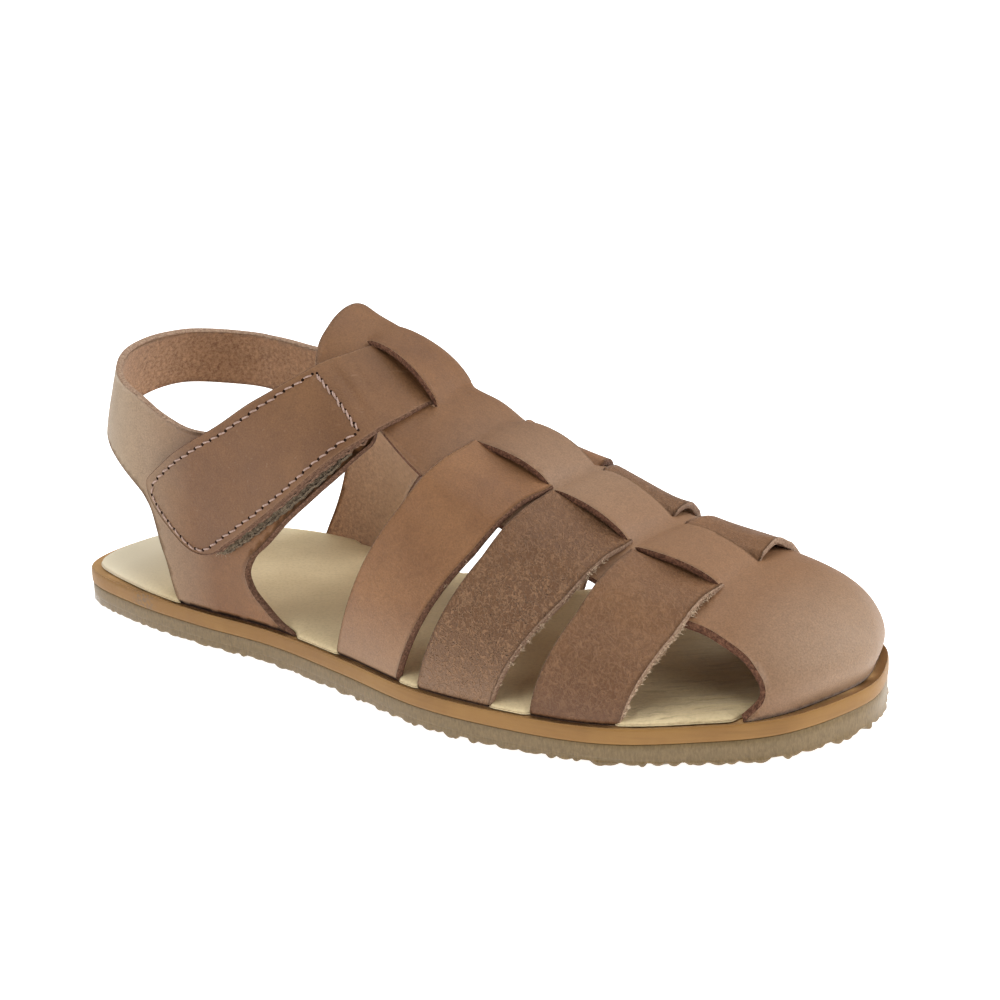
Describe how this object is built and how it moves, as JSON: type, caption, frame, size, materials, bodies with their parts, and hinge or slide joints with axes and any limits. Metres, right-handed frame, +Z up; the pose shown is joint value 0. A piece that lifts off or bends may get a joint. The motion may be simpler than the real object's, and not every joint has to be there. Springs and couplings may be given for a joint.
{
  "type": "barefoot sandal",
  "caption": "Flat closed-toe leather sandal with cross straps woven through a slit centre bar, a heel strap and a hook-and-loop closure over the instep.",
  "frame": {"origin": "centre of the footprint, on the ground", "axes": "+X towards the toe, +Y towards the inner side of the foot, +Z up"},
  "size_m": [0.2511, 0.095, 0.0964],
  "materials": {
    "leather": "waxed brown leather, soft sheen",
    "footbed": "cream lining leather, matte",
    "tan_sheet": "orange-tan sheet, satin",
    "crepe": "grey-olive crepe rubber, nubbed lower edge",
    "tape": "grey-olive hook and loop pile"
  },
  "bodies": {
    "root": {"outsole": "crepe", "midsole": "tan_sheet", "insole": "footbed", "upper": "leather", "hook_patch": "tape", "loop_patch": "tape"}
  },
  "joints": []
}
